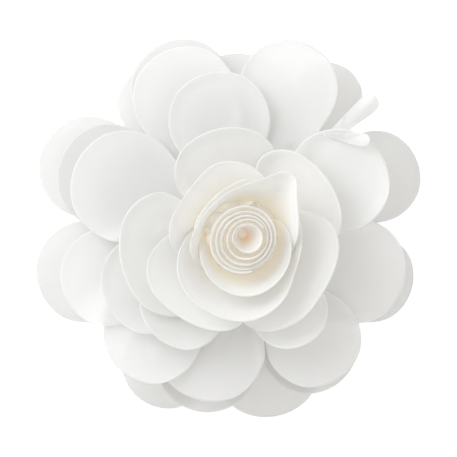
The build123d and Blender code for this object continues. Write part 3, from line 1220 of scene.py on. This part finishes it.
@dataclass
class Backing:
    """Felt, buckram and glue behind the rose, with the felt's stitches."""

    nodes: dict
    stitches: int = 40
    stitch_length: float = 2.2 * MM
    stitch_inset: float = 1.6 * MM
    thread_radius: float = 0.2 * MM
    fibres: int = 2600
    fibre_length: float = 1.5 * MM
    fibre_radius: float = 0.02 * MM
    glue_spill: float = 0.9 * MM

    def build(self) -> None:
        """Make the backing's pieces."""
        felt = FeltFinish("felt", (0.90, 0.89, 0.87), (0.74, 0.73, 0.70)).make()
        self._disc("felt_backing", "felt_pad", felt, 0.03 * MM)
        buckram = BuckramFinish("buckram", (0.93, 0.92, 0.88)).make()
        self._disc("base_disc", "buckram_disc", buckram, 0.0)
        self._stitches(ThreadFinish("sewing_thread", (0.93, 0.92, 0.90), (0.62, 0.60, 0.57)).make())
        self._fibres(felt)
        self._glue()

    def _disc(self, node: str, name: str, material: bpy.types.Material, sag: float) -> None:
        """One round layer of cloth.

        Args:
            node: its CAD node.
            name: the piece's name.
            material: its finish.
            sag: how uneven it is.
        """
        low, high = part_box(node)
        piece = ring_sheet(name, low, high, sag)
        piece.data.materials.append(material)
        thicken(piece, (high.z - low.z) * 0.96)
        bevel = piece.modifiers.new("soft_edge", "BEVEL")
        bevel.width = 0.25 * MM
        bevel.segments = 2
        bevel.limit_method = "ANGLE"
        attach(piece, BODY)
        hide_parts(node)
        log.info("backing %s", name)

    def _stitches(self, material: bpy.types.Material) -> None:
        """A ring of running stitches on the felt's underside.

        Args:
            material: the thread's finish.
        """
        low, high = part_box("felt_backing")
        centre = (low + high) / 2
        recipe = Recipe("running_stitches", {
            "Count": self.stitches,
            "Ring Radius": (high.x - low.x) / 2 - self.stitch_inset,
            "Half Length": self.stitch_length / 2,
            "Thread Radius": self.thread_radius,
            "Seed": 7,
        })
        given = recipe.given
        ring = recipe.node(
            "GeometryNodeMeshCircle", {}, {"Vertices": given["Count"], "Radius": given["Ring Radius"]}
        ).outputs[0]
        start = recipe.node("ShaderNodeCombineXYZ", {}, {
            0: recipe.maths("MULTIPLY", given["Half Length"], -1.0),
            2: given["Thread Radius"],
        }).outputs[0]
        middle = recipe.node("ShaderNodeCombineXYZ", {}, {
            2: recipe.maths("MULTIPLY", given["Thread Radius"], -2.2),
        }).outputs[0]
        stop = recipe.node("ShaderNodeCombineXYZ", {}, {
            0: given["Half Length"],
            2: given["Thread Radius"],
        }).outputs[0]
        arc = recipe.node("GeometryNodeCurveQuadraticBezier", {}, {
            "Resolution": 6, "Start": start, "Middle": middle, "End": stop}).outputs[0]
        round_thread = recipe.node("GeometryNodeCurvePrimitiveCircle", {}, {
            "Resolution": 7, "Radius": given["Thread Radius"]}).outputs[0]
        thread = recipe.node("GeometryNodeCurveToMesh", {}, {
            "Curve": arc, "Profile Curve": round_thread, "Fill Caps": True}).outputs[0]
        position = recipe.node("GeometryNodeInputPosition").outputs[0]
        place = recipe.node("ShaderNodeSeparateXYZ", {}, {0: position})
        turn = recipe.maths("ARCTAN2", place.outputs[1], place.outputs[0])
        stray = recipe.node("FunctionNodeRandomValue", {"data_type": "FLOAT"}, {
            2: 1.45,
            3: 1.69,
            "Seed": given["Seed"],
        })
        facing = recipe.node("ShaderNodeCombineXYZ", {}, {
            2: recipe.maths("ADD", turn, stray.outputs[1]),
        }).outputs[0]
        laid = recipe.node("GeometryNodeInstanceOnPoints", {}, {
            "Points": ring, "Instance": thread, "Rotation": facing}).outputs[0]
        moved = recipe.node("GeometryNodeTransform", {}, {
            0: laid, "Translation": (centre.x, centre.y, low.z + 0.02 * MM)}).outputs[0]
        recipe.end(moved, material)
        self._fix(recipe.bake("felt_stitches", bpy.data.meshes.new("nothing")))

    def _fibres(self, material: bpy.types.Material) -> None:
        """Loose fibres over the felt's faces and rim.

        Args:
            material: the felt's finish.
        """
        source = self.nodes["felt_backing"].data.copy()
        merged = bmesh.new()
        merged.from_mesh(source)
        bmesh.ops.remove_doubles(merged, verts=merged.verts, dist=0.001 * MM)
        merged.to_mesh(source)
        area = sum(face.calc_area() for face in merged.faces)
        merged.free()
        recipe = Recipe("felt_fuzz", {
            "Count": self.fibres,
            "Length": self.fibre_length,
            "Thickness": self.fibre_radius,
            "Seed": 11,
        })
        given = recipe.given
        spread = recipe.node("GeometryNodeDistributePointsOnFaces", {}, {
            "Mesh": given["Geometry"],
            "Density": recipe.maths("DIVIDE", given["Count"], area),
            "Seed": given["Seed"],
        })
        stop = recipe.node("ShaderNodeCombineXYZ", {}, {0: given["Length"]}).outputs[0]
        lift = recipe.node("ShaderNodeCombineXYZ", {}, {
            0: recipe.maths("MULTIPLY", given["Length"], 0.5),
            1: recipe.maths("MULTIPLY", given["Length"], 0.35),
            2: recipe.maths("MULTIPLY", given["Length"], 0.3),
        }).outputs[0]
        arc = recipe.node("GeometryNodeCurveQuadraticBezier", {}, {
            "Resolution": 4, "Start": (0.0, 0.0, 0.0), "Middle": lift, "End": stop}).outputs[0]
        profile = recipe.node("GeometryNodeCurvePrimitiveCircle", {}, {
            "Resolution": 3, "Radius": given["Thickness"]}).outputs[0]
        fibre = recipe.node("GeometryNodeCurveToMesh", {}, {
            "Curve": arc,
            "Profile Curve": profile,
        }).outputs[0]
        spin = recipe.node("FunctionNodeRandomValue", {"data_type": "FLOAT"}, {
            2: 0.0,
            3: 6.283,
            "Seed": given["Seed"],
        })
        about = recipe.node("ShaderNodeCombineXYZ", {}, {2: spin.outputs[1]}).outputs[0]
        turned = recipe.node("FunctionNodeRotateEuler", {"rotation_type": "EULER", "space": "LOCAL"}, {
            0: spread.outputs["Rotation"], "Rotate By": about}).outputs[0]
        size = recipe.node("FunctionNodeRandomValue", {"data_type": "FLOAT"}, {
            2: 0.4,
            3: 1.0,
            "Seed": 3,
        }).outputs[1]
        laid = recipe.node("GeometryNodeInstanceOnPoints", {}, {
            "Points": spread.outputs["Points"],
            "Instance": fibre,
            "Rotation": turned,
            "Scale": size,
        }).outputs[0]
        recipe.end(laid, material)
        self._fix(recipe.bake("felt_fibres", source))

    def _fix(self, piece: bpy.types.Object) -> None:
        """Let a piece of the backing go with the flower.

        Args:
            piece: the piece.
        """
        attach(piece, BODY)
        log.info("backing %s", piece.name)

    def _glue(self) -> None:
        """Hot glue, pressed out unevenly past the plate's sides."""
        low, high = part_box("glue_pad")
        centre = (low + high) / 2
        steps = 41
        ahead, aside = round_grid(steps)
        turn = np.arctan2(aside, ahead)
        out = np.hypot(ahead, aside)
        half = np.array([(high.x - low.x) / 2, (high.y - low.y) / 2 + self.glue_spill])
        corner = (np.abs(np.cos(turn)) ** 5 + np.abs(np.sin(turn)) ** 5) ** (-1 / 5)
        blob = 1 + 0.035 * np.sin(9 * turn + 1) + 0.03 * np.sin(17 * turn)
        x = out * corner * np.cos(turn) * half[0]
        y = out * corner * np.sin(turn) * half[1] * blob
        points = np.column_stack([centre.x + x, centre.y + y, np.full(len(x), centre.z)])
        piece = mesh_piece("glue_bead", points, grid_faces(steps, steps))
        piece.data.materials.append(GlueFinish("hot_glue", (0.93, 0.90, 0.80)).make())
        thicken(piece, (high.z - low.z) * 0.94)
        soften = piece.modifiers.new("soften", "SUBSURF")
        soften.levels = 1
        soften.render_levels = 1
        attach(piece, BODY)
        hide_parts("glue_pad")
        log.info("backing %s", piece.name)


@dataclass
class Clip:
    """The sprung steel clip."""

    nodes: dict

    def build(self) -> None:
        """Dress the clip's CAD nodes."""
        finishes = {
            "upper_jaw": SteelFinish("plate_steel", (0.66, 0.65, 0.64)),
            "lower_jaw": SteelFinish("jaw_steel", (0.66, 0.65, 0.64), 0.24),
            "hinge_pin": SteelFinish("pin_steel", (0.60, 0.60, 0.60), 0.2),
            "torsion_spring": SteelFinish("spring_wire", (0.52, 0.52, 0.53), 0.22),
        }
        for name, finish in finishes.items():
            dress_node(self.nodes[name], finish.make())
            log.info("clip %s", name)


# ------------------------------------------------------------------- studio

@dataclass
class Studio:
    """Plain white floor, soft light and a camera that looks straight down."""

    view_width: float = 134.3 * MM
    lens: float = 400.0
    rim_height: float = 14.0 * MM
    sensor: float = 36.0
    floor_half: float = 1.5
    floor_drop: float = 0.2 * MM
    sky: tuple[float, float, float] = (1.0, 0.99, 0.97)
    sky_strength: float = 0.80
    key_place: tuple[float, float, float] = (-0.66, 0.50, 0.56)
    key_size: float = 0.7
    key_power: float = 4.6
    key_colour: tuple[float, float, float] = (0.95, 0.975, 1.0)

    def build(self) -> None:
        """Make the floor, lights, world and camera."""
        self._camera()
        self._floor()
        self._lights()
        scene = bpy.context.scene
        scene.view_settings.view_transform = "Standard"
        scene.view_settings.look = "None"
        scene.cycles.diffuse_bounces = 12

    def _camera(self) -> None:
        """A long lens far above, so that the rose is nearly without perspective."""
        data = bpy.data.cameras.new("camera")
        data.lens = self.lens
        data.sensor_width = self.sensor
        data.clip_end = 20.0
        camera = bpy.data.objects.new("camera", data)
        camera.location = (0.0, 0.0, self.rim_height + self.view_width * self.lens / self.sensor)
        bpy.context.scene.collection.objects.link(camera)
        bpy.context.scene.camera = camera

    def _floor(self) -> None:
        """A plain white sheet under the part, clear from beneath so that the clip shows."""
        half = self.floor_half
        corner = [(-half, -half), (half, -half), (half, half), (-half, half)]
        points = np.array([(x, y, -self.floor_drop) for x, y in corner])
        floor = mesh_piece("floor", points, [(0, 1, 2, 3)])
        shader = Shader("floor_paper")
        beneath = Wire(shader, shader.node("ShaderNodeNewGeometry").outputs["Backfacing"])
        shader.dress(
            Alpha=1 - beneath,
            Base_Color=(0.97, 0.97, 0.97),
            Roughness=0.9,
            Specular_IOR_Level=0.0,
            Emission_Color=(1.0, 1.0, 1.0),
            Emission_Strength=0.35,
        )
        floor.data.materials.append(shader.material)

    def _lights(self) -> None:
        """White surroundings and one large soft lamp at the upper left."""
        world = bpy.data.worlds.new("surroundings")
        world.use_nodes = True
        background = world.node_tree.nodes["Background"]
        background.inputs["Color"].default_value = (*self.sky, 1.0)
        background.inputs["Strength"].default_value = self.sky_strength
        bpy.context.scene.world = world
        data = bpy.data.lights.new("key", "AREA")
        data.size = self.key_size
        data.energy = self.key_power
        data.color = self.key_colour
        lamp = bpy.data.objects.new("key", data)
        lamp.location = self.key_place
        lamp.rotation_mode = "QUATERNION"
        lamp.rotation_quaternion = (-Vector(self.key_place)).to_track_quat("-Z", "Y")
        bpy.context.scene.collection.objects.link(lamp)


def main() -> None:
    """Build the scene round the frame."""
    logging.basicConfig(level=logging.INFO, format="%(name)s: %(message)s")
    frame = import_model()
    nodes = frame["nodes"]
    low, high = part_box("base_disc")
    axis = (low + high) / 2
    Studio().build()
    works = ClothWorks(nodes, axis)
    works.prepare()
    Rose(works).build()
    Backing(nodes).build()
    Clip(nodes).build()


if __name__ == "__main__":
    main()
